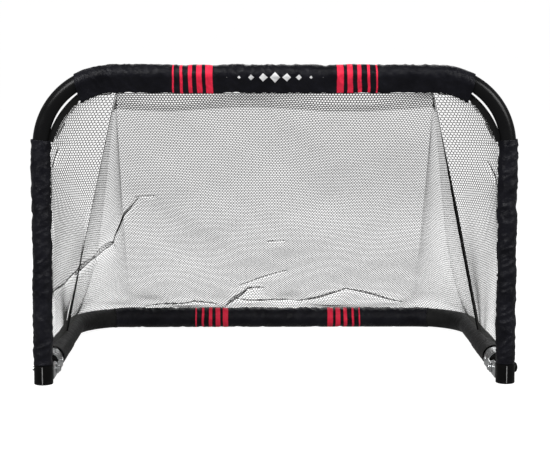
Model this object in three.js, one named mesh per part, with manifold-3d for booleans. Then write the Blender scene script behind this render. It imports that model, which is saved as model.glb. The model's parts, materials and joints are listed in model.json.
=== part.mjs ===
// A folding mini hockey goal. An upright front frame and a base frame, each one bent steel tube, are
// hinged together behind the posts. Fabric sleeves cover both frames and a net hangs between them.
// Millimetres. +X is to the right, +Y runs back into the goal, +Z is up and the goal stands on z = 0.
import * as THREE from 'three';
import { mergeVertices } from 'three/addons/utils/BufferGeometryUtils.js';
import Module from 'manifold-3d';

const wasm = await Module();
wasm.setup();

// Frames. Y is measured from the centre line of the posts until the whole goal is centred.
const POST_X = 431;
const CROSSBAR_Z = 576;
const FRONT_BEND_R = 132;
const REAR_BAR_Y = 572;
const BASE_Z = 22.5;
const BASE_BEND_R = 115;
const TUBE_R = 15;
const TUBE_WALL = 1.5;
const TUBE_SIDES = 20;
const TUBE_STEP = 11.25;
const CLOTH_STEP = 5.6;
const NET_STEP = 22.5;
const GAP = 0.3;

// Fabric sleeves
const CLOTH = 1.4;
const POST_SLEEVE_R = 18.5;
const POST_SLEEVE_TOP = 455;
const CROSSBAR_SLEEVE_TOP_R = 16.9;
const CROSSBAR_SLEEVE_SIDE_R = 18.3;
const CROSSBAR_FLAP_DROP = 35;
const CROSSBAR_SLEEVE_WRAP = 28;
const BASE_SLEEVE_R = 22.5;
const REAR_SLEEVE_WRAP = 18.8;
const SIDE_SLEEVE_START = 132;
const SEAM_Y = 295;
const HEM_R = 21;

// Feet and hinges
const CAP_R = 17.75;
const CAP_HEIGHT = 36;
const CAP_FLOOR = 3;
const PIVOT_Y = 60;
const PIVOT_Z = 16;
const STEEL = 2;
const CHEEK_INNER = 14.7;
const FITTING_INNER = 17.5;
const FITTING_START = 80;
const FITTING_END = 128;
const LEG_START = 84;
const LEG_BOLT_Y = 108;
const RIVET_HEIGHTS = { lower: 12, upper: 28 };
const RIVET = { radius: 2.4, hole: 2.75, headRadius: 4.5, headHeight: 1.5, bulbRadius: 3.5 };
const PIVOT_BOLT = { radius: 4, acrossFlats: 13, headHeight: 5.3, length: 49 };
const PIVOT_NUT = { bore: 4.3, acrossFlats: 13, height: 6.5 };
const LEG_BOLT = { radius: 3, acrossFlats: 10, headHeight: 4, length: 48 };
const LEG_NUT = { bore: 3.3, acrossFlats: 10, height: 5 };
const FITTING_OUTER = FITTING_INNER + STEEL;

// Net
const NET_THICKNESS = 1.5;
const SEAM_TOP_X = 293;
const SEAM_HALF_GAP = 4;
const NET_TOP = new THREE.Vector3(SEAM_TOP_X, 6, 538);
const NET_BOTTOM_Z = 47;
const NET_BOTTOM_INSET = 6;

const SIDES = { left: -1, right: 1 };
const X_AXIS = new THREE.Vector3(1, 0, 0);
const Y_AXIS = new THREE.Vector3(0, 1, 0);
const Z_AXIS = new THREE.Vector3(0, 0, 1);

const FRONT_FRAME = {
  halfWidth: POST_X, reach: CROSSBAR_Z, bend: FRONT_BEND_R, along: Z_AXIS,
  normal: new THREE.Vector3(0, -1, 0), origin: new THREE.Vector3(0, 0, 0),
};
const BASE_FRAME = {
  halfWidth: POST_X, reach: REAR_BAR_Y, bend: BASE_BEND_R, along: Y_AXIS,
  normal: Z_AXIS, origin: new THREE.Vector3(0, 0, BASE_Z),
};

function material(color, roughness, metalness) {
  return new THREE.MeshStandardMaterial({ color, roughness, metalness });
}

const blackPaint = () => material(0x0c0c0d, 0.3, 0.2);
const blackPlastic = () => material(0x141415, 0.45, 0);
const zinc = () => material(0xb8babb, 0.35, 0.9);
const sleeveCloth = () => material(0x1d1d22, 0.8, 0);
const blackTape = () => material(0x0f0f10, 0.85, 0);
const netThread = () => material(0x202120, 0.9, 0);

// Frames and paths -----------------------------------------------------------------------------

// A path that steps from one chosen station to the next, so a straight run takes a single step.
class FramePath extends THREE.Curve {
  constructor(frame, stations) {
    super();
    this.frame = frame;
    this.stations = stations;
  }

  stationAt(u) {
    return this.stations[Math.round(u * (this.stations.length - 1))];
  }

  getPointAt(u) {
    return this.stationAt(u).point.clone();
  }

  getTangentAt(u) {
    return this.stationAt(u).tangent.clone();
  }

  computeFrenetFrames() {
    const tangents = this.stations.map((station) => station.tangent.clone());
    const binormals = tangents.map(() => this.frame.normal.clone());
    const normals = tangents.map((tangent) => this.frame.normal.clone().cross(tangent));
    return { tangents, normals, binormals };
  }
}

function framePoint(frame, across, along) {
  return frame.origin.clone().addScaledVector(X_AXIS, across).addScaledVector(frame.along, along);
}

// One point of a leg. The path climbs the left leg and comes down the right one.
function legStation(frame, side, along) {
  const point = framePoint(frame, side * frame.halfWidth, along);
  return { point, tangent: frame.along.clone().multiplyScalar(-side) };
}

// Stations around one bend, by degrees from the +X direction, about stepDegrees apart.
function bendStations(frame, side, fromDegrees, toDegrees, stepDegrees = TUBE_STEP) {
  const steps = Math.max(2, Math.round(Math.abs(toDegrees - fromDegrees) / stepDegrees));
  const centre = framePoint(frame, side * (frame.halfWidth - frame.bend), frame.reach - frame.bend);
  const stations = [];
  for (let i = 0; i <= steps; i += 1) {
    const angle = THREE.MathUtils.degToRad(fromDegrees + ((toDegrees - fromDegrees) * i) / steps);
    const outward = X_AXIS.clone().multiplyScalar(Math.cos(angle));
    outward.addScaledVector(frame.along, Math.sin(angle));
    const tangent = X_AXIS.clone().multiplyScalar(Math.sin(angle));
    tangent.addScaledVector(frame.along, -Math.cos(angle));
    stations.push({ point: centre.clone().addScaledVector(outward, frame.bend), tangent });
  }
  return stations;
}

// The middle of a frame, reaching the same angle into both bends.
function middleStations(frame, wrapDegrees, stepDegrees = TUBE_STEP) {
  return [
    ...bendStations(frame, -1, 90 + wrapDegrees, 90, stepDegrees),
    ...bendStations(frame, 1, 90, 90 - wrapDegrees, stepDegrees),
  ];
}

function wholeStations(frame, legStart) {
  return [
    legStation(frame, -1, legStart),
    ...middleStations(frame, 90),
    legStation(frame, 1, legStart),
  ];
}

// Solids ---------------------------------------------------------------------------------------

function circlePoints(radius, count = TUBE_SIDES) {
  const points = [];
  for (let i = 0; i < count; i += 1) {
    const angle = (2 * Math.PI * i) / count;
    points.push(new THREE.Vector2(radius * Math.cos(angle), radius * Math.sin(angle)));
  }
  return points;
}

function ringShape(outerPoints, innerPoints) {
  const shape = new THREE.Shape(outerPoints);
  shape.holes.push(new THREE.Path(innerPoints));
  return shape;
}

function sweep(frame, stations, shape) {
  const extrudePath = new FramePath(frame, stations);
  return new THREE.ExtrudeGeometry(shape, { steps: stations.length - 1, extrudePath });
}

function roundSleeve(frame, stations, outerRadius) {
  const section = ringShape(circlePoints(outerRadius), circlePoints(outerRadius - CLOTH));
  return sweep(frame, stations, section);
}

function toSolid(geometry) {
  const plain = geometry.clone();
  plain.deleteAttribute('normal');
  plain.deleteAttribute('uv');
  const merged = mergeVertices(plain, 1e-4);
  return new wasm.Manifold(new wasm.Mesh({
    numProp: 3,
    vertProperties: new Float32Array(merged.attributes.position.array),
    triVerts: new Uint32Array(merged.index.array),
  }));
}

function toGeometry(solid) {
  const mesh = solid.getMesh();
  const geometry = new THREE.BufferGeometry();
  geometry.setAttribute('position', new THREE.BufferAttribute(mesh.vertProperties, 3));
  geometry.setIndex(new THREE.BufferAttribute(mesh.triVerts, 1));
  geometry.computeVertexNormals();
  return geometry;
}

function cut(geometry, cutters) {
  let solid = toSolid(geometry);
  for (const cutter of cutters) {
    solid = solid.subtract(toSolid(cutter));
  }
  return toGeometry(solid);
}

function join(geometries) {
  const solids = geometries.map(toSolid);
  return toGeometry(solids.reduce((sum, solid) => sum.add(solid)));
}

function cylinderAlong(axis, radius, length, centre, segments = 16) {
  const geometry = new THREE.CylinderGeometry(radius, radius, length, segments);
  geometry.applyQuaternion(new THREE.Quaternion().setFromUnitVectors(Y_AXIS, axis));
  return geometry.translate(centre.x, centre.y, centre.z);
}

function boxBetween(low, high) {
  const size = new THREE.Vector3().subVectors(high, low);
  const centre = new THREE.Vector3().addVectors(low, high).multiplyScalar(0.5);
  return new THREE.BoxGeometry(size.x, size.y, size.z).translate(centre.x, centre.y, centre.z);
}

// A plate whose outline lies in the YZ plane, from x = low to x = low + depth.
function sidePlate(shape, low, depth = STEEL) {
  const geometry = new THREE.ExtrudeGeometry(shape, { depth, bevelEnabled: false, curveSegments: 8 });
  geometry.applyMatrix4(new THREE.Matrix4().makeBasis(Y_AXIS, Z_AXIS, X_AXIS));
  return geometry.translate(low, 0, 0);
}

// A solid turned about its own +X axis, from a closed profile of [x, radius] points.
function turnedAlongX(profile, segments = 20) {
  const points = profile.map(([x, radius]) => new THREE.Vector2(radius, x));
  return new THREE.LatheGeometry(points, segments).rotateZ(-Math.PI / 2);
}

// Tubes and sleeves ----------------------------------------------------------------------------

function tubeShape() {
  return ringShape(circlePoints(TUBE_R), circlePoints(TUBE_R - TUBE_WALL));
}

function frontTube() {
  const tube = sweep(FRONT_FRAME, wholeStations(FRONT_FRAME, CAP_FLOOR + GAP), tubeShape());
  const holes = [];
  for (const side of Object.values(SIDES)) {
    for (const height of Object.values(RIVET_HEIGHTS)) {
      const centre = new THREE.Vector3(side * POST_X, TUBE_R, height);
      holes.push(cylinderAlong(Y_AXIS, RIVET.hole, TUBE_R, centre, 12));
    }
  }
  return cut(tube, holes);
}

function baseTube() {
  const tube = sweep(BASE_FRAME, wholeStations(BASE_FRAME, LEG_START), tubeShape());
  const holes = Object.values(SIDES).map((side) => {
    const centre = new THREE.Vector3(side * POST_X, LEG_BOLT_Y, BASE_Z);
    return cylinderAlong(X_AXIS, LEG_BOLT.radius + 2 * GAP, 3 * TUBE_R, centre, 12);
  });
  return cut(tube, holes);
}

// A pear-shaped section: round over the tube, drawn down to the sewn flap that carries the net.
function flapSection(topRadius, sideRadius, drop, flapHalf) {
  const points = [new THREE.Vector2(-drop, flapHalf), new THREE.Vector2(-drop, -flapHalf)];
  const shoulder = 112;
  const steps = 14;
  for (let i = 0; i <= steps; i += 1) {
    const angle = THREE.MathUtils.degToRad((2 * shoulder * i) / steps - shoulder);
    points.push(new THREE.Vector2(topRadius * Math.cos(angle), sideRadius * Math.sin(angle)));
  }
  return points;
}

function crossbarSleeve() {
  const topInner = CROSSBAR_SLEEVE_TOP_R - CLOTH;
  const sideInner = CROSSBAR_SLEEVE_SIDE_R - CLOTH;
  const outer = flapSection(CROSSBAR_SLEEVE_TOP_R, CROSSBAR_SLEEVE_SIDE_R, CROSSBAR_FLAP_DROP, 2.2);
  const inner = flapSection(topInner, sideInner, CROSSBAR_FLAP_DROP - 4, 0.8);
  const stations = middleStations(FRONT_FRAME, CROSSBAR_SLEEVE_WRAP, CLOTH_STEP);
  return sweep(FRONT_FRAME, stations, ringShape(outer, inner));
}

function postSleeve(side) {
  const bottom = CAP_HEIGHT + 1;
  const stations = [
    legStation(FRONT_FRAME, side, side < 0 ? bottom : POST_SLEEVE_TOP),
    legStation(FRONT_FRAME, side, side < 0 ? POST_SLEEVE_TOP : bottom),
  ];
  return roundSleeve(FRONT_FRAME, stations, POST_SLEEVE_R);
}

function rearBarSleeve() {
  return roundSleeve(BASE_FRAME, middleStations(BASE_FRAME, REAR_SLEEVE_WRAP), BASE_SLEEVE_R);
}

function sideSleeve(side) {
  const ends = [SIDE_SLEEVE_START, SEAM_Y - 1];
  const stations = ends.map((y) => legStation(BASE_FRAME, side, y));
  return roundSleeve(BASE_FRAME, side < 0 ? stations : stations.reverse(), BASE_SLEEVE_R);
}

// The smooth hem around a rear corner, from the end of the side sleeve to the rear bar sleeve.
function cornerHem(side) {
  const wrap = REAR_SLEEVE_WRAP + 0.5;
  const leg = legStation(BASE_FRAME, side, SEAM_Y + 1);
  const stations = side < 0
    ? [leg, ...bendStations(BASE_FRAME, side, 180, 90 + wrap)]
    : [...bendStations(BASE_FRAME, side, 90 - wrap, 0), leg];
  return roundSleeve(BASE_FRAME, stations, HEM_R);
}

// The flat tape that bridges each top bend and carries the corner of the net.
function cornerTape(side) {
  const tape = { width: 12, thickness: 1.2, sag: 9 };
  const start = new THREE.Vector3(side * 350, 0, 529);
  const end = new THREE.Vector3(side * 412, 0, 457);
  const across = new THREE.Vector3().subVectors(end, start);
  const outward = new THREE.Vector3(across.z, 0, -across.x).normalize().multiplyScalar(side * -1);
  const control = start.clone().lerp(end, 0.5).addScaledVector(outward, 2 * tape.sag);
  const curve = new THREE.QuadraticBezierCurve3(start, control, end);
  const steps = 8;
  const outline = [];
  for (const edge of [0.5, -0.5]) {
    for (let i = 0; i <= steps; i += 1) {
      const u = edge > 0 ? i / steps : 1 - i / steps;
      const point = curve.getPoint(u);
      const tangent = curve.getTangent(u);
      const lift = edge * tape.thickness;
      outline.push(new THREE.Vector2(point.x - tangent.z * lift, point.z + tangent.x * lift));
    }
  }
  const geometry = new THREE.ExtrudeGeometry(new THREE.Shape(outline), {
    depth: tape.width, bevelEnabled: false,
  });
  return geometry.rotateX(Math.PI / 2).translate(0, tape.width / 2, 0);
}

// Feet and hinges, each built about x = 0 behind its own post ------------------------------------

function footCap() {
  const edge = 1.2;
  const inner = TUBE_R + GAP;
  const profile = [
    [0, 0], [CAP_R - edge, 0], [CAP_R - 0.3 * edge, 0.3 * edge], [CAP_R, edge], [CAP_R, CAP_HEIGHT],
    [inner, CAP_HEIGHT], [inner, CAP_FLOOR], [0, CAP_FLOOR],
  ].map(([radius, z]) => new THREE.Vector2(radius, z));
  const cup = new THREE.LatheGeometry(profile, 28).rotateX(Math.PI / 2);
  const notch = boxBetween(
    new THREE.Vector3(-CAP_R, TUBE_R - 0.1, 4.6),
    new THREE.Vector3(CAP_R, 2 * TUBE_R, CAP_HEIGHT + 1),
  );
  return cut(cup, [notch]);
}

// The U-shaped bracket: a web riveted to the post and two cheeks that carry the pivot.
function postBracket() {
  const low = 5;
  const high = 35;
  const front = TUBE_R + GAP;
  const profile = new THREE.Shape();
  profile.moveTo(front, low);
  profile.lineTo(PIVOT_Y, low);
  profile.absarc(PIVOT_Y, PIVOT_Z, PIVOT_Z - low, -Math.PI / 2, Math.PI * 0.42, false);
  profile.lineTo(38, high);
  profile.lineTo(front, high);
  profile.closePath();
  const web = boxBetween(
    new THREE.Vector3(-CHEEK_INNER - STEEL, front, low),
    new THREE.Vector3(CHEEK_INNER + STEEL, front + STEEL, high),
  );
  const body = join([web, sidePlate(profile, CHEEK_INNER), sidePlate(profile, -CHEEK_INNER - STEEL)]);
  const pivot = new THREE.Vector3(0, PIVOT_Y, PIVOT_Z);
  const holes = Object.values(RIVET_HEIGHTS).map((height) => (
    cylinderAlong(Y_AXIS, RIVET.hole, 10, new THREE.Vector3(0, front, height), 12)
  ));
  holes.push(cylinderAlong(X_AXIS, PIVOT_BOLT.radius + 0.4, 60, pivot));
  return cut(body, holes);
}

// The arched channel on the end of a leg: it straps over the tube and its tabs reach to the pivot.
function legFitting() {
  const low = 8;
  const arch = new THREE.Shape();
  arch.moveTo(FITTING_OUTER, low);
  arch.lineTo(FITTING_OUTER, BASE_Z);
  arch.absarc(0, BASE_Z, FITTING_OUTER, 0, Math.PI, false);
  arch.lineTo(-FITTING_OUTER, low);
  arch.lineTo(-FITTING_INNER, low);
  arch.lineTo(-FITTING_INNER, BASE_Z);
  arch.absarc(0, BASE_Z, FITTING_INNER, Math.PI, 0, true);
  arch.lineTo(FITTING_INNER, low);
  arch.closePath();
  const length = FITTING_END - FITTING_START;
  const channel = new THREE.ExtrudeGeometry(arch, { depth: length, bevelEnabled: false, curveSegments: 10 });
  channel.rotateX(Math.PI / 2).translate(0, FITTING_END, 0);

  const tab = new THREE.Shape();
  const tabRadius = 9.5;
  tab.absarc(PIVOT_Y, PIVOT_Z, tabRadius, Math.PI * 0.6, Math.PI * 1.5, false);
  tab.lineTo(FITTING_START + 6, low);
  tab.lineTo(FITTING_START + 6, BASE_Z + 3);
  tab.lineTo(FITTING_START, BASE_Z + 6);
  tab.closePath();
  const tabs = [sidePlate(tab, FITTING_INNER), sidePlate(tab, -FITTING_OUTER)];
  const pivot = new THREE.Vector3(0, PIVOT_Y, PIVOT_Z);
  const crossBolt = new THREE.Vector3(0, LEG_BOLT_Y, BASE_Z);
  return cut(join([channel, ...tabs]), [
    cylinderAlong(X_AXIS, PIVOT_BOLT.radius + 0.4, 60, pivot),
    cylinderAlong(X_AXIS, LEG_BOLT.radius + 0.4, 60, crossBolt, 12),
  ]);
}

// The arched plastic collar that packs the fitting out to the round tube.
function legCollar() {
  const [inner, outer] = [TUBE_R + 0.5, FITTING_INNER - GAP];
  const profile = [[outer, 86], [outer, 126], [inner, 126], [inner, 86], [outer, 86]];
  const ring = new THREE.LatheGeometry(profile.map(([radius, y]) => new THREE.Vector2(radius, y)), 24);
  const hole = cylinderAlong(X_AXIS, LEG_BOLT.radius + 0.4, 60, new THREE.Vector3(0, LEG_BOLT_Y, 0), 12);
  return cut(ring, [hole]).translate(0, 0, BASE_Z);
}

function legPlug() {
  const shank = TUBE_R - TUBE_WALL - 0.5;
  const [front, face, end] = [LEG_START - 3, LEG_START - GAP, 98];
  const profile = [
    [0, front], [TUBE_R - 1, front], [TUBE_R, front + 1], [TUBE_R, face],
    [shank, face], [shank, end], [0, end],
  ];
  const plug = new THREE.LatheGeometry(profile.map(([radius, y]) => new THREE.Vector2(radius, y)), 20);
  return plug.translate(0, 0, BASE_Z);
}

function bracketRivet() {
  const underHead = TUBE_R + GAP + STEEL + GAP;
  const bulbEnd = 12.6;
  const profile = [
    [0, bulbEnd - 4], [RIVET.bulbRadius - 0.8, bulbEnd - 4], [RIVET.bulbRadius, bulbEnd - 2.5],
    [RIVET.bulbRadius, bulbEnd], [RIVET.radius, bulbEnd], [RIVET.radius, underHead],
    [RIVET.headRadius, underHead], [RIVET.headRadius - 1, underHead + RIVET.headHeight - 0.3],
    [0, underHead + RIVET.headHeight],
  ];
  return new THREE.LatheGeometry(profile.map(([radius, y]) => new THREE.Vector2(radius, y)), 14);
}

// A bolt through the fitting, with a domed head on the -X side.
function domeBolt(bolt) {
  const seat = -FITTING_OUTER - GAP;
  const rim = bolt.acrossFlats / 2;
  const top = seat - bolt.headHeight;
  return turnedAlongX([
    [top, 0], [top + 0.6, 0.55 * rim], [top + 2, 0.87 * rim], [seat - 0.6, rim], [seat, rim],
    [seat, bolt.radius], [seat + bolt.length, bolt.radius], [seat + bolt.length, 0],
  ]);
}

// A hexagonal nut on the +X side of the fitting.
function hexNut(nut) {
  const corner = nut.acrossFlats / Math.sqrt(3);
  const shape = ringShape(circlePoints(corner, 6), circlePoints(nut.bore, 16));
  return sidePlate(shape, FITTING_OUTER + GAP, nut.height);
}

function pivotBush() {
  const [inner, outer, end] = [PIVOT_BOLT.radius + 0.5, PIVOT_BOLT.radius + 3, CHEEK_INNER - GAP];
  return turnedAlongX([[-end, inner], [-end, outer], [end, outer], [end, inner], [-end, inner]]);
}

// Net ------------------------------------------------------------------------------------------

// A sheet of even thickness from its inner corners and triangles, grown along its own normals.
function netSheet(corners, triangles, thickness = NET_THICKNESS) {
  const inner = new THREE.BufferGeometry().setFromPoints(corners);
  inner.setIndex(triangles.flat());
  inner.computeVertexNormals();
  const normals = inner.attributes.normal;
  const outer = corners.map((corner, i) => (
    corner.clone().addScaledVector(new THREE.Vector3().fromBufferAttribute(normals, i), thickness)
  ));
  const count = corners.length;
  const edges = new Map();
  const faces = [];
  for (const [a, b, c] of triangles) {
    faces.push([c, b, a], [a + count, b + count, c + count]);
    for (const [from, to] of [[a, b], [b, c], [c, a]]) {
      if (!edges.delete(`${to} ${from}`)) {
        edges.set(`${from} ${to}`, [from, to]);
      }
    }
  }
  for (const [from, to] of edges.values()) {
    faces.push([from, to, to + count], [from, to + count, from + count]);
  }
  const sheet = new THREE.BufferGeometry().setFromPoints([...corners, ...outer]);
  sheet.setIndex(faces.flat());
  sheet.computeVertexNormals();
  return sheet;
}

function fanTriangles(apex, first, last) {
  const triangles = [];
  for (let i = first; i < last; i += 1) {
    triangles.push([apex, i, i + 1]);
  }
  return triangles;
}

function mirrored(geometry) {
  const copy = geometry.clone().scale(-1, 1, 1);
  copy.setIndex([...copy.index.array].reverse());
  return copy;
}

// Where the net meets the base: a line just inside the middle of the base frame's sleeves.
function netFootLine() {
  const inset = { ...BASE_FRAME, origin: new THREE.Vector3(0, 0, NET_BOTTOM_Z) };
  inset.halfWidth -= NET_BOTTOM_INSET;
  inset.reach -= NET_BOTTOM_INSET;
  inset.bend -= NET_BOTTOM_INSET;
  const seamEnd = SEAM_Y + SEAM_HALF_GAP;
  const stations = [
    legStation(inset, 1, seamEnd),
    ...bendStations(inset, 1, 0, 90, NET_STEP),
    ...bendStations(inset, -1, 90, 180, NET_STEP),
    legStation(inset, -1, seamEnd),
  ];
  return stations.map((station) => station.point);
}

// The back of the net: a flat middle, with each end wrapping round a rear corner to its seam.
function netBack() {
  const foot = netFootLine();
  const half = foot.length / 2;
  const right = NET_TOP.clone().setX(SEAM_TOP_X - SEAM_HALF_GAP);
  const left = right.clone().setX(-right.x);
  const corners = [right, left, ...foot];
  const middleRight = 2 + half - 1;
  const triangles = [
    ...fanTriangles(0, 2, middleRight),
    [0, middleRight, middleRight + 1],
    [0, middleRight + 1, 1],
    ...fanTriangles(1, middleRight + 1, 1 + foot.length),
  ];
  return netSheet(corners, triangles);
}

// A side of the net: from its seam forwards to the crossbar's end, the corner tape and the post.
function netSide(side) {
  const foot = new THREE.Vector3(POST_X - NET_BOTTOM_INSET, SEAM_Y - SEAM_HALF_GAP, NET_BOTTOM_Z);
  const front = [
    NET_TOP.clone().setX(SEAM_TOP_X + SEAM_HALF_GAP),
    new THREE.Vector3(345, 8, 520),
    new THREE.Vector3(386, 11, 484),
    new THREE.Vector3(POST_X - 17, 17, POST_SLEEVE_TOP - 3),
    new THREE.Vector3(POST_X - 15, 19, 82),
  ];
  const corners = [foot, ...front.reverse()];
  const sheet = netSheet(corners, fanTriangles(0, 1, corners.length - 1));
  return side > 0 ? sheet : mirrored(sheet);
}

// The tape over the seam between the back and a side of the net.
function netSeamTape(side) {
  const half = 2.2;
  const low = new THREE.Vector3(POST_X - NET_BOTTOM_INSET, SEAM_Y, NET_BOTTOM_Z + 1);
  const corners = [
    NET_TOP.clone().add(new THREE.Vector3(-half, 0, -1)),
    NET_TOP.clone().add(new THREE.Vector3(half, 0, -1)),
    low.clone().add(new THREE.Vector3(0, -half, 0)),
    low.clone().add(new THREE.Vector3(0, half, 0)),
  ];
  const tape = netSheet(corners, [[0, 1, 2], [0, 2, 3]].map((t) => t.reverse()), 1.2);
  return side > 0 ? tape : mirrored(tape);
}

// Assembly -------------------------------------------------------------------------------------

const FRONTMOST = -POST_SLEEVE_R;
const REARMOST = REAR_BAR_Y + BASE_SLEEVE_R;

const goal = new THREE.Group();
goal.position.y = -(FRONTMOST + REARMOST) / 2;

function add(group, name, geometry, meshMaterial) {
  const mesh = new THREE.Mesh(geometry, meshMaterial);
  mesh.name = name;
  group.add(mesh);
  return mesh;
}

add(goal, 'front_tube', frontTube(), blackPaint());
add(goal, 'base_tube', baseTube(), blackPaint());
add(goal, 'crossbar_sleeve', crossbarSleeve(), sleeveCloth());
add(goal, 'rear_bar_sleeve', rearBarSleeve(), sleeveCloth());
add(goal, 'net_back', netBack(), netThread());

for (const [label, side] of Object.entries(SIDES)) {
  add(goal, `post_sleeve_${label}`, postSleeve(side), sleeveCloth());
  add(goal, `side_sleeve_${label}`, sideSleeve(side), sleeveCloth());
  add(goal, `corner_hem_${label}`, cornerHem(side), blackTape());
  add(goal, `corner_tape_${label}`, cornerTape(side), blackTape());
  add(goal, `net_side_${label}`, netSide(side), netThread());
  add(goal, `net_seam_tape_${label}`, netSeamTape(side), blackTape());

  const foot = new THREE.Group();
  foot.position.x = side * POST_X;
  goal.add(foot);
  add(foot, `foot_cap_${label}`, footCap(), blackPlastic());
  add(foot, `post_bracket_${label}`, postBracket(), zinc());
  for (const [place, height] of Object.entries(RIVET_HEIGHTS)) {
    add(foot, `bracket_rivet_${place}_${label}`, bracketRivet(), zinc()).position.z = height;
  }
  add(foot, `leg_fitting_${label}`, legFitting(), zinc());
  add(foot, `leg_collar_${label}`, legCollar(), blackPlastic());
  add(foot, `leg_plug_${label}`, legPlug(), blackPlastic());

  // Bolt heads face the inside of the goal, so the left hinge's hardware is turned half round.
  const turn = side > 0 ? 0 : Math.PI;
  const pivot = new THREE.Group();
  pivot.position.set(0, PIVOT_Y, PIVOT_Z);
  pivot.rotation.z = turn;
  foot.add(pivot);
  add(pivot, `pivot_bolt_${label}`, domeBolt(PIVOT_BOLT), zinc());
  add(pivot, `pivot_nut_${label}`, hexNut(PIVOT_NUT), zinc());
  add(pivot, `pivot_bush_${label}`, pivotBush(), zinc());
  const clamp = new THREE.Group();
  clamp.position.set(0, LEG_BOLT_Y, BASE_Z);
  clamp.rotation.z = turn;
  foot.add(clamp);
  add(clamp, `leg_bolt_${label}`, domeBolt(LEG_BOLT), zinc());
  add(clamp, `leg_nut_${label}`, hexNut(LEG_NUT), zinc());
}

export default goal;
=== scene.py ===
"""The visual model of a folding mini goal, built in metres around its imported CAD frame."""
import json
import math

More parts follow.
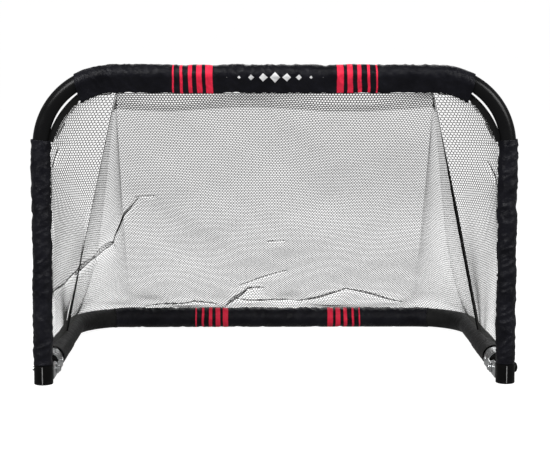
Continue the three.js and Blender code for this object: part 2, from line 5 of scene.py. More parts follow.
import bpy
import numpy as np
from mathutils import Vector, noise
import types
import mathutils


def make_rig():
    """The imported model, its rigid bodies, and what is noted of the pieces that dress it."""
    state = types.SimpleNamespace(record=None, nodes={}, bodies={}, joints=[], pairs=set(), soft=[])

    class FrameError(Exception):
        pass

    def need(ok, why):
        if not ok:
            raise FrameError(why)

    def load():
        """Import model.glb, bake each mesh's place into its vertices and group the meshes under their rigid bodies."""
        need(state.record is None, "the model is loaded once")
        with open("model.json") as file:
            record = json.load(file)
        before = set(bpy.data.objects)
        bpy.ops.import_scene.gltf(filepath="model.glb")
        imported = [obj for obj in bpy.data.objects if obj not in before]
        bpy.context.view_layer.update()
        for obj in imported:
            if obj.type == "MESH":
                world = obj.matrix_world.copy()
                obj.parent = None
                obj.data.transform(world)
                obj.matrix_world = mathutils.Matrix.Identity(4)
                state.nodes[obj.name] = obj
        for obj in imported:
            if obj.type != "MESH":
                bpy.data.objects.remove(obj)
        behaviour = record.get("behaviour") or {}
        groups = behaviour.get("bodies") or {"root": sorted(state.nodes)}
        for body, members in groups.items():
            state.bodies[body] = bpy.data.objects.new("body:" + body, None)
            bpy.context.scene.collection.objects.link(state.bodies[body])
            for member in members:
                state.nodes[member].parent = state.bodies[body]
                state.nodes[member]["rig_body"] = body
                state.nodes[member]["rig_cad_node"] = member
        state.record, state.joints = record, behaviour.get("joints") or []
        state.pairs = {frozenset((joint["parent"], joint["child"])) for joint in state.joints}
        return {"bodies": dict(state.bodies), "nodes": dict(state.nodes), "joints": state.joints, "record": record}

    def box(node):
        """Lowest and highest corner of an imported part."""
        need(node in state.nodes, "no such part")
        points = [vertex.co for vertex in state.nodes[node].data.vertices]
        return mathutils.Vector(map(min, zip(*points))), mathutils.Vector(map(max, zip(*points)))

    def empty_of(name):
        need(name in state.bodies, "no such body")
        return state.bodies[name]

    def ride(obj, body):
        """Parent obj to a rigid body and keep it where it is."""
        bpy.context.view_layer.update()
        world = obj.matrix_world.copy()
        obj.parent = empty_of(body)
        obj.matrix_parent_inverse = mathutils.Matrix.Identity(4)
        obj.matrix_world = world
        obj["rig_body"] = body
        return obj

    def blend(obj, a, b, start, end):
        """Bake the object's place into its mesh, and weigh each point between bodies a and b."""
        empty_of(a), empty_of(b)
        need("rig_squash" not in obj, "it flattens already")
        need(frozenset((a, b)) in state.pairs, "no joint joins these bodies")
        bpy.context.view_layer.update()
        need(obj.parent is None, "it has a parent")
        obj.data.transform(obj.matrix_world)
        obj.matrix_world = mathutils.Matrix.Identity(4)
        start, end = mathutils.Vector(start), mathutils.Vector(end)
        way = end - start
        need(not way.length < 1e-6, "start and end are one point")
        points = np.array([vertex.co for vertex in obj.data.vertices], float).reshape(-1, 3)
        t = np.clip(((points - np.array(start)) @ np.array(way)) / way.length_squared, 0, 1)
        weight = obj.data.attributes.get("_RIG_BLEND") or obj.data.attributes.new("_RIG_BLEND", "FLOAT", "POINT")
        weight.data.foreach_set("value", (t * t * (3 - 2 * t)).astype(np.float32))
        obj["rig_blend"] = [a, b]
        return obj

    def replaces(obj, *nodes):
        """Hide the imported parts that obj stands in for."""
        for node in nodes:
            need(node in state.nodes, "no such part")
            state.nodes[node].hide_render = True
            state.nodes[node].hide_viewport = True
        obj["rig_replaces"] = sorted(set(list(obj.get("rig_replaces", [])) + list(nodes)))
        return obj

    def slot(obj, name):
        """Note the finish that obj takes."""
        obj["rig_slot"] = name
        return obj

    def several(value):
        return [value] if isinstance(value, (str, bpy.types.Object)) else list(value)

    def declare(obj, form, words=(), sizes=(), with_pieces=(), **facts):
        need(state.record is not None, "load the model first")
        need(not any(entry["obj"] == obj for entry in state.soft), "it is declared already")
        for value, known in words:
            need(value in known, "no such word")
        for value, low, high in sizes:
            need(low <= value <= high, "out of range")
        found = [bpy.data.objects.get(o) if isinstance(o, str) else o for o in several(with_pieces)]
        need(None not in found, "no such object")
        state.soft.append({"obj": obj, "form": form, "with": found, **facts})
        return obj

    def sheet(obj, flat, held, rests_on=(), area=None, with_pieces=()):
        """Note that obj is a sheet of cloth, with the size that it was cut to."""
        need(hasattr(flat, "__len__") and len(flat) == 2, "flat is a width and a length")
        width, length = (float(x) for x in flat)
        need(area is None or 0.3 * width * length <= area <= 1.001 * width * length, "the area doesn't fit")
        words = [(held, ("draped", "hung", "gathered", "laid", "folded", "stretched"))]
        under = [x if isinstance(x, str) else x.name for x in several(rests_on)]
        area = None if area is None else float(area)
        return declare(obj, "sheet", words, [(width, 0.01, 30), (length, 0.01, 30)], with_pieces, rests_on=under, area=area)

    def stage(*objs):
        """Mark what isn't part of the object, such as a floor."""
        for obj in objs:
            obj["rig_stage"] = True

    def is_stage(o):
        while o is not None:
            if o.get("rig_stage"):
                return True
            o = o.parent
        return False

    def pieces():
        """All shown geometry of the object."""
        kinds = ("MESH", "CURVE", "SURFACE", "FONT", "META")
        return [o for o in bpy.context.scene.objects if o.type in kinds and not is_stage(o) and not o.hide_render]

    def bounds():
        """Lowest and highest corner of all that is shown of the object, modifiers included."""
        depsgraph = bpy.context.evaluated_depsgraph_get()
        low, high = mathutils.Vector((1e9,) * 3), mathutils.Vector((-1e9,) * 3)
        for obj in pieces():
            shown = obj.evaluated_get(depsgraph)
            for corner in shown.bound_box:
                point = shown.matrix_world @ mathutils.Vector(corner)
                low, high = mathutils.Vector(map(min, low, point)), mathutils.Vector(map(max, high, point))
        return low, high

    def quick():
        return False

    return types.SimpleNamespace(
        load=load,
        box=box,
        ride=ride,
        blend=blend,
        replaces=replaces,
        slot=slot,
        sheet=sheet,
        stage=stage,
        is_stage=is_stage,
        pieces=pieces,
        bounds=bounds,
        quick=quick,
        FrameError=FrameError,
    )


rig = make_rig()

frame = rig.load()
cad_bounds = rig.bounds()
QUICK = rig.quick()

# Driving dimensions, in metres. Places come from the CAD nodes' boxes.
MM = 0.001
TUBE_R = 15 * MM
CLOTH = 0.9 * MM
FRONT_BEND_R = 132 * MM
BASE_BEND_R = 115 * MM
SIDES = {"left": -1, "right": 1}
FRONT, BASE = "front_frame", "base_frame"

tube_low, tube_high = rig.box("front_tube")
base_low, base_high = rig.box("base_tube")
POST_X = tube_high[0] - TUBE_R
POST_Y = (tube_low[1] + tube_high[1]) / 2
CROSSBAR_Z = tube_high[2] - TUBE_R
REAR_Y = base_high[1] - TUBE_R
BASE_Z = (base_low[2] + base_high[2]) / 2
HINGE = np.array(frame["record"]["behaviour"]["joints"][0]["pos_m"][1:])

# Sleeves: how far the crossbar's reaches round each bend, at its sewn edge and at its top, where
# round the base bend the rear bar's starts, and how finely they are drawn.
CROSSBAR_WRAP, CROSSBAR_TOP_WRAP = math.radians(35.5), math.radians(28)
REAR_WRAP = math.radians(90 - 18.8)
FLAP_DROP = 35 * MM
SLEEVE_STEP = 3 * MM if QUICK else 1.7 * MM
SLEEVE_COLUMNS = 48 if QUICK else 80

# Cloth colours, and the print: each stripe's distance from the print's middle and its width, in
# millimetres, where the rear bar's print has its middle, and the height of the white mark.
NYLON_DARK, NYLON_LIGHT = (0.002, 0.002, 0.004), (0.008, 0.008, 0.012)
SIDE_DARK, SIDE_LIGHT = (0.008, 0.008, 0.008), (0.014, 0.014, 0.014)
CROSSBAR_STRIPES = ((187, 3), (172, 5), (155, 7.5), (138, 10), (120, 12.5))
REAR_STRIPES = ((183, 3), (168, 5), (151, 7.5), (135, 10), (118, 12))
REAR_PRINT_MIDDLE = 14 * MM
MARK_Z = CROSSBAR_Z - 6 * MM

# Corner tapes: each one's ends, across and up, how far it bows out, and its cut width.
TAPE_TOP, TAPE_FOOT = (362 * MM, 532 * MM), (412 * MM, 457 * MM)
TAPE_BOW = 13 * MM
TAPE_WIDTH = 12.5 * MM

# The net: the ends of its seams, how far inside the base tube's centre line it is held, how much
# of each wrapped corner's roundness is taken up by the taut net, and its mesh.
SEAM_TOP = np.array([293 * MM, POST_Y + 4 * MM, 540 * MM])
SEAM_FOOT = np.array([POST_X - 5 * MM, POST_Y + 295 * MM, 45 * MM])
FOOT_INSET = 5 * MM
CORNER_CUT = 0.85
NET_PITCH = 5.5 * MM
NET_THREAD_R = 0.66 * MM
NET_HELD_BY = ["crossbar_sleeve_cloth", "rear_bar_sleeve_cloth"]

# The share of each seam, from the top, along which its tape is rolled narrow.
SEAM_NARROW = {"left": 0.62, "right": 0.12}

# Angles about the hinge, from the base frame up: below the first the net turns with the base, and
# above the second it stays with the front frame.
FOLD_FULL, FOLD_NONE = math.radians(8), math.radians(98)

# Creases in the slack net, in millimetres: flat start and end, width, pull and lift. Flat places
# on the back are measured across from the middle and down from the crossbar; on a side, from the
# seam towards the front and up from the floor.
BACK_CREASES = (
    (-106, 748, -50, 668, 4.4, 12.0, 10),
    (-60, 669, -18, 663, 3.2, 6.5, 7),
    (-285, 744, -165, 712, 3.0, 6.0, 6),
    (-178, 712, -124, 732, 3.0, 6.0, 6),
    (-78, 716, 12, 722, 2.8, 5.5, 7),
    (0, 722, 70, 728, 2.4, 3.6, 5),
    (58, 728, 168, 664, 3.4, 7.5, 8),
    (158, 664, 292, 727, 3.0, 6.0, 8),
    (-72, 652, 34, 585, 2.4, 3.2, 5),
    (-14, 460, 28, 455, 2.0, 2.4, 3),
    (-494, 388, -400, 478, 4.4, 12.0, 12),
    (-408, 478, -346, 470, 4.6, 14.0, 12),
    (-360, 478, -268, 306, 3.6, 8.0, 9),
    (-276, 304, -234, 298, 2.2, 2.8, 4),
)
SIDE_CREASES = {
    "left": (
        (0, 188, 96, 160, 3.0, 6.0, 6),
        (88, 161, 214, 165, 3.0, 6.0, 6),
        (86, 440, 108, 402, 2.2, 3.6, 5),
    ),
    "right": (
        (80, 414, 116, 370, 2.2, 3.0, 5),
    ),
}


# Mesh helpers ---------------------------------------------------------------------------------

def make_object(name, vertices, faces, material, smooth=True):
    """A new mesh object in the scene, with one material."""
    mesh = bpy.data.meshes.new(name)
    mesh.from_pydata([tuple(v) for v in vertices], [], [tuple(f) for f in faces])
    mesh.validate()
    if smooth:
        mesh.polygons.foreach_set("use_smooth", [True] * len(mesh.polygons))
    mesh.materials.append(material)
    mesh.update()
    obj = bpy.data.objects.new(name, mesh)
    bpy.context.scene.collection.objects.link(obj)
    return obj


def grid_faces(rows, columns):
    """Quads between neighbouring rows of vertices, closed round each row."""
    faces = []
    for i in range(rows - 1):
        for j in range(columns):
            k = (j + 1) % columns
            faces.append((i * columns + j, i * columns + k, (i + 1) * columns + k, (i + 1) * columns + j))
    return faces


def stand_for(obj, body, slot, *nodes):
    """The piece rides on a body, takes a record slot and replaces its CAD nodes."""
    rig.ride(obj, body)
    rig.slot(obj, slot)
    if nodes:
        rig.replaces(obj, *nodes)


class UFrame:
    """A bent-tube frame: two legs, two round bends and the bar between them."""

    def __init__(self, reach, bend, axis, origin):
        self.half = POST_X
        self.reach = reach
        self.bend = bend
        self.axis = np.array(axis, float)
        self.origin = np.array(origin, float)
        self.arc = bend * math.pi / 2
        self.bar = 2 * (self.half - bend)

    def point(self, across, along):
        return self.origin + np.array([across, 0.0, 0.0]) + self.axis * along

    def length(self, leg_from=0.0):
        """The whole run, with both legs starting at leg_from along the axis."""
        return 2 * (self.reach - self.bend - leg_from) + 2 * self.arc + self.bar

    def at(self, leg_from, distance):
        """The point, tangent and outward normal at a distance from the left leg's start."""
        leg = self.reach - self.bend - leg_from
        x_axis = np.array([1.0, 0.0, 0.0])
        centre_along = self.reach - self.bend
        if distance <= leg:
            return self.point(-self.half, leg_from + distance), self.axis, -x_axis
        distance -= leg
        if distance <= self.arc:
            turn = distance / self.bend
            outward = -x_axis * math.cos(turn) + self.axis * math.sin(turn)
            tangent = x_axis * math.sin(turn) + self.axis * math.cos(turn)
            centre = self.point(-(self.half - self.bend), centre_along)
            return centre + outward * self.bend, tangent, outward
        distance -= self.arc
        if distance <= self.bar:
            place = self.point(-(self.half - self.bend) + distance, self.reach)
            return place, x_axis, self.axis
        distance -= self.bar
        if distance <= self.arc:
            turn = distance / self.bend
            outward = x_axis * math.sin(turn) + self.axis * math.cos(turn)
            tangent = x_axis * math.cos(turn) - self.axis * math.sin(turn)
            centre = self.point(self.half - self.bend, centre_along)
            return centre + outward * self.bend, tangent, outward
        distance -= self.arc
        return self.point(self.half, centre_along - distance), -self.axis, x_axis

    def span(self, leg_from, start, end, step):
        """Stations between two distances along the frame."""
        count = max(2, round((end - start) / step))
        return [self.at(leg_from, start + (end - start) * i / count) for i in range(count + 1)]


def frame_sections():
    """The upright frame and the base frame, as their centre lines run."""
    front = UFrame(CROSSBAR_Z, FRONT_BEND_R, (0, 0, 1), (0, POST_Y, 0))
    base = UFrame(REAR_Y - POST_Y, BASE_BEND_R, (0, 1, 0), (0, POST_Y, BASE_Z))
    return front, base


# Materials ------------------------------------------------------------------------------------

class Nodes:
    """A short way to write a node tree: each call adds one node and returns its first output."""

    def __init__(self, name):
        self.material = bpy.data.materials.new(name)
        self.material.use_nodes = True
        self.tree = self.material.node_tree
        self.shader = self.tree.nodes["Principled BSDF"]

    def link(self, value, socket):
        if hasattr(value, "is_output"):
            self.tree.links.new(value, socket)
        else:
            socket.default_value = value

    def add(self, kind, inputs=(), output=0, **settings):
        node = self.tree.nodes.new(kind)
        for key, value in settings.items():
            setattr(node, key, value)
        for key, value in dict(inputs).items():
            self.link(value, node.inputs[key])
        return node.outputs[output]

    def math(self, operation, a, b=0.0, c=0.0):
        return self.add("ShaderNodeMath", {0: a, 1: b, 2: c}, operation=operation)

    def mix(self, factor, a, b):
        return self.add("ShaderNodeMix", {0: factor, 6: a, 7: b}, output=2, data_type="RGBA")

    def place(self):
        return self.add("ShaderNodeTexCoord", output=3)

    def axes(self):
        """The object's own X, Y and Z at each point of it."""
        return self.add("ShaderNodeSeparateXYZ", {0: self.place()}).node.outputs

    def noise(self, scale, detail=2.0, stretch=None, roughness=0.5):
        place = self.place()
        if stretch:
            place = self.add("ShaderNodeMapping", {0: place, 3: stretch})
        return self.add(
            "ShaderNodeTexNoise", {"Vector": place, "Scale": scale, "Detail": detail, "Roughness": roughness}
        )

    def ramp(self, value, low, high, to_low=0.0, to_high=1.0):
        return self.add("ShaderNodeMapRange", {0: value, 1: low, 2: high, 3: to_low, 4: to_high})

    def bump(self, height, distance, strength=1.0, normal=None):
        inputs = {"Height": height, "Distance": distance, "Strength": strength}
        if normal is not None:
            inputs["Normal"] = normal
        return self.add("ShaderNodeBump", inputs)

    def finish(self, **sockets):
        for key, value in sockets.items():
            self.link(value, self.shader.inputs[key.replace("_", " ")])
        return self.material


def rgb(red, green, blue):
    return (red, green, blue, 1.0)


def paint_material():
    """Glossy black powder coat with a little orange peel."""
    n = Nodes("black_gloss_paint")
    shade = n.mix(n.noise(9, 3), rgb(0.003, 0.003, 0.0035), rgb(0.006, 0.006, 0.006))
    peel = n.bump(n.noise(900, 2), 0.00012, 0.5)
    rough = n.ramp(n.noise(40, 4), 0.3, 0.7, 0.2, 0.34)
    return n.finish(Base_Color=shade, Roughness=rough, Normal=peel, Specular_IOR_Level=0.15)


def weave_height(n, across, pitch):
    """A plain weave: two crossed sets of yarns along two of the object's own directions."""
    axes = n.axes()
    first, second = (n.math("SINE", n.math("MULTIPLY", axes[axis], 2 * math.pi / pitch)) for axis in across)
    return n.math("MULTIPLY", first, second)


def woven(name, dark, light, roughness, across=("X", "Z"), pitch=1.1 * MM):
    """Dull woven cloth with soft creases and uneven dye: its nodes, and what they come to."""
    n = Nodes(name)
    shade = n.mix(n.ramp(n.noise(26, 5, roughness=0.6), 0.35, 0.68), rgb(*dark), rgb(*light))
    weave = n.bump(weave_height(n, across, pitch), 0.00012, 0.35)
    crease = n.bump(n.noise(95, 5, roughness=0.6), 0.0024, 0.8, normal=weave)
    rough = n.ramp(n.noise(60, 3), 0.3, 0.7, roughness - 0.08, roughness + 0.08)
    return n, shade, rough, crease


def finish_cloth(n, shade, rough, crease, sheen):
    return n.finish(
        Base_Color=shade, Roughness=rough, Normal=crease,
        Sheen_Weight=sheen, Sheen_Roughness=0.4, Specular_IOR_Level=0.16,
    )


def post_cloth():
    """The crossbar's nylon, without a print."""
    return finish_cloth(*woven("post_nylon", NYLON_DARK, NYLON_LIGHT, 0.42), sheen=0.04)


def side_cloth():
    """Matt cloth on the base frame's legs and bends."""
    return finish_cloth(*woven("side_cloth", SIDE_DARK, SIDE_LIGHT, 0.7, across=("Y", "Z")), sheen=0.05)


def striped_cloth(name, stripes, middle=0.0, mark_height=None):
    """Black nylon printed with two mirrored groups of red stripes, and perhaps a white mark."""
    n, shade, rough, crease = woven(name, NYLON_DARK, NYLON_LIGHT, 0.42)
    axes = n.axes()
    wander = n.ramp(n.noise(14, 2), 0.3, 0.7, -1.6 * MM, 1.6 * MM)
    across = n.math("ADD", n.math("ABSOLUTE", n.math("SUBTRACT", axes["X"], middle)), wander)
    red_mask = None
    for centre, width in stripes:
        offset = n.math("ABSOLUTE", n.math("SUBTRACT", across, centre * MM))
        stripe = n.ramp(offset, (width / 2 - 0.25) * MM, (width / 2 + 0.25) * MM, 1.0, 0.0)
        red_mask = stripe if red_mask is None else n.math("MAXIMUM", red_mask, stripe)
    red = n.mix(n.noise(45, 4), rgb(0.74, 0.012, 0.045), rgb(1.0, 0.040, 0.095))
    shade = n.mix(red_mask, shade, red)
    if mark_height is not None:
        shade = n.mix(white_mark(n, axes, mark_height), shade, rgb(0.82, 0.82, 0.82))
    return finish_cloth(n, shade, rough, crease, sheen=0.04)


def white_mark(n, axes, height):
    """A mask for a row of plain diamonds on the front of the crossbar, largest in the middle."""
    pitch, half_row, half_height = 22 * MM, 92 * MM, 10.5 * MM
    x, y, z = (axes[axis] for axis in "XYZ")
    size = n.math("SUBTRACT", 1.0, n.math("DIVIDE", n.math("ABSOLUTE", x), half_row))
    cell = n.math("PINGPONG", n.math("ADD", x, pitch * 20), pitch / 2)
    rise = n.math("ABSOLUTE", n.math("SUBTRACT", z, height))
    reach = n.math("ADD", n.math("DIVIDE", cell, pitch / 2), n.math("DIVIDE", rise, half_height))
    inside = n.ramp(n.math("SUBTRACT", n.math("MULTIPLY", size, 0.95), reach), -0.03, 0.03)
    in_front = n.math("LESS_THAN", y, POST_Y)
    return n.math("MULTIPLY", inside, in_front)


def net_material():
    """Matt black polyester thread, too fine to show a weave."""
    n = Nodes("net_thread")
    return n.finish(Base_Color=rgb(0.022, 0.022, 0.020), Roughness=0.75)


def tape_material():
    """Matt ribbed binding tape."""
    n = Nodes("binding_tape")
    ribs = n.bump(n.noise(700, 2, stretch=(1, 1, 0.3)), 0.0003, 0.6)
    shade = n.mix(n.noise(60, 3), rgb(0.003, 0.003, 0.003), rgb(0.008, 0.008, 0.008))
    return n.finish(Base_Color=shade, Roughness=0.8, Normal=ribs, Specular_IOR_Level=0.12)


def plastic_material():
    """Moulded black plastic, scuffed near the floor."""
    n = Nodes("black_plastic")
    grain = n.bump(n.noise(500, 3), 0.0002, 0.4)
    low = n.ramp(n.axes()["Z"], 0.0, 9 * MM, 1.0, 0.0)
    scuff = n.math("MULTIPLY", low, n.ramp(n.noise(260, 6), 0.5, 0.62))
    shade = n.mix(scuff, rgb(0.002, 0.002, 0.002), rgb(0.012, 0.012, 0.012))
    rough = n.ramp(n.noise(70, 4), 0.3, 0.7, 0.34, 0.5)
    return n.finish(Base_Color=shade, Roughness=rough, Normal=grain, Specular_IOR_Level=0.14)


def zinc_material():
    """Bright zinc plate with faint spangle and dull patches."""
    n = Nodes("bright_zinc")
    spangle = n.noise(150, 5)
    shade = n.mix(spangle, rgb(0.48, 0.49, 0.5), rgb(0.78, 0.79, 0.79))
    rough = n.ramp(n.noise(90, 4), 0.3, 0.7, 0.22, 0.42)
    dents = n.bump(n.noise(320, 3), 0.0002, 0.35)
    return n.finish(Base_Color=shade, Metallic=1.0, Roughness=rough, Normal=dents)


# Tubes and sleeves ----------------------------------------------------------------------------

def sweep(stations, side_axis, section):
    """Rows of points: a section of (outward, sideways) offsets set at each station."""
    rows = []
    for place, _, outward in stations:
        rows.append(place + section[:, :1] * outward + section[:, 1:] * side_axis)
    return np.array(rows)


def circle(radius, count=40):
    angles = np.linspace(0, 2 * math.pi, count, endpoint=False)
    return np.stack([radius * np.cos(angles), radius * np.sin(angles)], axis=1)


def pear(top, side, drop, half, count):
    """The crossbar sleeve's section: round over the tube and drawn down to a sewn edge."""
    shoulder = math.radians(112)
    round_count = int(count * 0.62)
    angles = np.linspace(-shoulder, shoulder, round_count)
    arc = np.stack([top * np.cos(angles), side * np.sin(angles)], axis=1)
    flank = (count - round_count) // 2
    steps = np.linspace(0, 1, flank + 1)[1:, None]
    down = arc[-1] + (np.array([-drop, half]) - arc[-1]) * steps
    up = np.array([-drop, -half]) + (arc[0] - np.array([-drop, -half])) * (steps - steps[0])
    return np.concatenate([arc, down, up])


def bent_tube(name, frame_line, side_axis, leg_from, material):
    """A smooth round tube along a frame, closed at both ends."""
    stations = frame_line.span(leg_from, 0, frame_line.length(leg_from), 5 * MM)
    rows = sweep(stations, side_axis, circle(TUBE_R))
    count = rows.shape[1]
    faces = grid_faces(len(rows), count)
    last = (len(rows) - 1) * count
    faces.append(tuple(range(count))[::-1])
    faces.append(tuple(range(last, last + count)))
    return make_object(name, rows.reshape(-1, 3), faces, material)


def crinkle(distance, outward, sideways, seed, amount):
    """How far loose nylon stands from its section: long soft folds, creases and small facets."""
    place = Vector((distance, outward, sideways))
    soft = noise.noise(Vector((distance * 26, outward * 16, sideways * 16)) + Vector((seed, 0, 0)))
    slanted = Vector((distance * 60 + outward * 34, outward * 20 - distance * 14, sideways * 26 + seed))
    crease = 1 - abs(noise.noise(slanted)) * 3.2
    near = noise.voronoi(place * 52 + Vector((0, seed, 0)))[0]
    facet = near[1] - near[0]
    return amount * (1.1 * soft + 0.75 * max(crease, -0.4) - 0.5 + 1.1 * (0.35 - facet))


def sleeve(name, stations, side_axis, section, seed, amount, material, tube, trim=None):
    """A loose fabric sleeve round a tube: an outer and an inner face, joined at both ends."""
    rows = sweep(stations, side_axis, section)
    centre = np.array([place for place, _, _ in stations])
    step = np.linalg.norm(centre[1] - centre[0])
    tail = np.roll(section, -1, axis=0) - np.roll(section, 1, axis=0)
    normals = np.stack([tail[:, 1], -tail[:, 0]], axis=1)
    normals /= np.linalg.norm(normals, axis=1)[:, None]
    last = len(rows) - 1
    inner = rows.copy()
    for i, (_, _, outward) in enumerate(stations):
        edge = min(i, last - i) * step
        hold = min(1.0, 0.35 + edge / (12 * MM))
        away = normals[:, :1] * outward + normals[:, 1:] * side_axis
        for j, (a, b) in enumerate(section):
            lift = crinkle(i * step, a, b, seed, amount) * hold
            rows[i, j] += away[j] * (trim(a, b, lift) if trim else lift)
        inner[i] = rows[i] - away * CLOTH
    count = len(section)
    faces = grid_faces(2 * len(rows), count)
    start = (2 * len(rows) - 1) * count
    faces += [(start + j, start + (j + 1) % count, (j + 1) % count, j) for j in range(count)]
    obj = make_object(name, np.concatenate([rows, inner[::-1]]).reshape(-1, 3), faces, material)
    girth = np.linalg.norm(tail, axis=1).sum() / 2
    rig.sheet(obj, flat=(girth, step * last), held="stretched", rests_on=[tube])
    return obj


def build_tubes(front_line, base_line, paint):
    front = bent_tube("front_tube_fine", front_line, np.array([0.0, -1.0, 0.0]), 3.3 * MM, paint)
    stand_for(front, FRONT, "tube_paint", "front_tube")
    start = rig.box("base_tube")[0][1] - POST_Y
    base = bent_tube("base_tube_fine", base_line, np.array([0.0, 0.0, 1.0]), start, paint)
    stand_for(base, BASE, "tube_paint", "base_tube")


def square_off_ends(cloth):
    """Turns the top of the crossbar sleeve back along each bend, so that its ends hang upright."""
    centre_x, centre_z = POST_X - FRONT_BEND_R, CROSSBAR_Z - FRONT_BEND_R
    for vertex in cloth.data.vertices:
        x, z = abs(vertex.co.x) - centre_x, vertex.co.z - centre_z
        angle, radius = math.atan2(x, z), math.hypot(x, z)
        if angle <= 0:
            continue
        height = min(1.0, max(0.0, (radius - FRONT_BEND_R + FLAP_DROP) / (FLAP_DROP + TUBE_R)))
        angle *= 1 - height * (1 - CROSSBAR_TOP_WRAP / CROSSBAR_WRAP)
        vertex.co.x = math.copysign(centre_x + radius * math.sin(angle), vertex.co.x)
        vertex.co.z = centre_z + radius * math.cos(angle)


def lay_flat(outward, sideways, lift):
    """Cloth under a base sleeve is pressed flat by the floor."""
    under = -sideways > 0.75 * math.hypot(outward, sideways)
    return min(lift, 0.0) if under else lift


def build_front_sleeves(front_line, crossbar_cloth, plain_cloth):
    toward_front = np.array([0.0, -1.0, 0.0])
    total = front_line.length()
    half = POST_X - FRONT_BEND_R + CROSSBAR_WRAP * FRONT_BEND_R
    stations = front_line.span(0, total / 2 - half, total / 2 + half, SLEEVE_STEP)
    section = pear(17.4 * MM, 18.3 * MM, FLAP_DROP, 1.6 * MM, SLEEVE_COLUMNS)
    cloth = sleeve(
        "crossbar_sleeve_cloth", stations, toward_front, section, 3.1, 1.4 * MM, crossbar_cloth,
        "front_tube_fine",
    )
    square_off_ends(cloth)
    stand_for(cloth, FRONT, "sleeve_cloth", "crossbar_sleeve")

    low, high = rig.box("post_sleeve_left")
    section = circle(18.2 * MM, SLEEVE_COLUMNS)
    for label, side in SIDES.items():
        ends = (low[2], high[2]) if side < 0 else (total - high[2], total - low[2])
        stations = front_line.span(0, *ends, SLEEVE_STEP)
        name = f"post_sleeve_{label}_cloth"
        cloth = sleeve(
            name, stations, toward_front, section, 11.7 + side, 1.7 * MM, plain_cloth, "front_tube_fine"
        )
        stand_for(cloth, FRONT, "sleeve_cloth", f"post_sleeve_{label}")


def build_base_sleeves(base_line, rear_cloth, leg_cloth):
    upward = np.array([0.0, 0.0, 1.0])
    total = base_line.length()
    rear_start = REAR_Y - POST_Y - BASE_BEND_R + REAR_WRAP * BASE_BEND_R
    low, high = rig.box("side_sleeve_left")
    side_start, seam = low[1] - POST_Y, high[1] - POST_Y
    runs = [
        ("rear_bar_sleeve", rear_start, total - rear_start, 21.9, 23.4, 1.2, rear_cloth, "sleeve_cloth")
    ]
    for label, side in SIDES.items():
        for node, near, far, radius, seed, amount in (
            ("side_sleeve", side_start, seam, 22.2, 31.9, 0.3),
            ("corner_hem", seam + 1 * MM, rear_start - 0.5 * MM, 20.8, 47.3, 0.35),
        ):
            ends = (near, far) if side < 0 else (total - far, total - near)
            runs.append((f"{node}_{label}", *ends, radius, seed + side, amount, leg_cloth, "side_cloth"))
    for node, near, far, radius, seed, amount, material, slot in runs:
        stations = base_line.span(0, near, far, SLEEVE_STEP)
        section = circle(radius * MM, SLEEVE_COLUMNS)
        cloth = sleeve(
            f"{node}_cloth", stations, upward, section, seed, amount * MM, material, "base_tube_fine",
            trim=lay_flat,
        )
        stand_for(cloth, BASE, slot, node)


def corner_tape_line(side, count=24):
    """The tape's middle line, bowed a little towards the bend."""
    start = np.array([side * TAPE_TOP[0], POST_Y, TAPE_TOP[1]])
    end = np.array([side * TAPE_FOOT[0], POST_Y, TAPE_FOOT[1]])
    across = end - start
    outward = np.array([-across[2], 0, across[0]]) * side
    outward /= np.linalg.norm(outward)
    middle = (start + end) / 2 + outward * TAPE_BOW
    u = np.linspace(-0.2, 1.06, count)[:, None]
    return (1 - u) ** 2 * start + 2 * u * (1 - u) * middle + u ** 2 * end


def ribbon(line, wide, half_width, half_thickness):
    """A flat tape along a line: wide holds its broad direction at each point."""
    tangent = np.gradient(line, axis=0)
    thick = np.cross(tangent, wide)
    thick /= np.linalg.norm(thick, axis=1)[:, None]
    corners = ((-1, -0.8), (0, -1), (1, -0.8), (1, 0.8), (0, 1), (-1, 0.8))
    half_width = np.broadcast_to(half_width, len(line))
    rows = np.array([
        [p + w * a * h + t * b * half_thickness for a, b in corners]
        for p, w, t, h in zip(line, wide, thick, half_width)
    ])
    faces = grid_faces(len(rows), len(corners))
    last = len(rows) * len(corners)
    faces += [tuple(range(len(corners)))[::-1], tuple(range(last - len(corners), last))]
    return rows.reshape(-1, 3), faces


def build_corner_tapes(material):
    for label, side in SIDES.items():
        line = corner_tape_line(side)
        tangent = np.gradient(line, axis=0)
        wide = np.cross(tangent, [0.0, 1.0, 0.0])
        wide /= np.linalg.norm(wide, axis=1)[:, None]
        vertices, faces = ribbon(line, wide, 6 * MM, 0.8 * MM)
        tape = make_object(f"corner_tape_{label}_cloth", vertices, faces, material, smooth=False)
        length = np.linalg.norm(np.diff(line, axis=0), axis=1).sum()
        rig.sheet(tape, flat=(TAPE_WIDTH, length), held="stretched", rests_on=["crossbar_sleeve_cloth"])
        stand_for(tape, FRONT, "binding_tape", f"corner_tape_{label}")


# Net ------------------------------------------------------------------------------------------

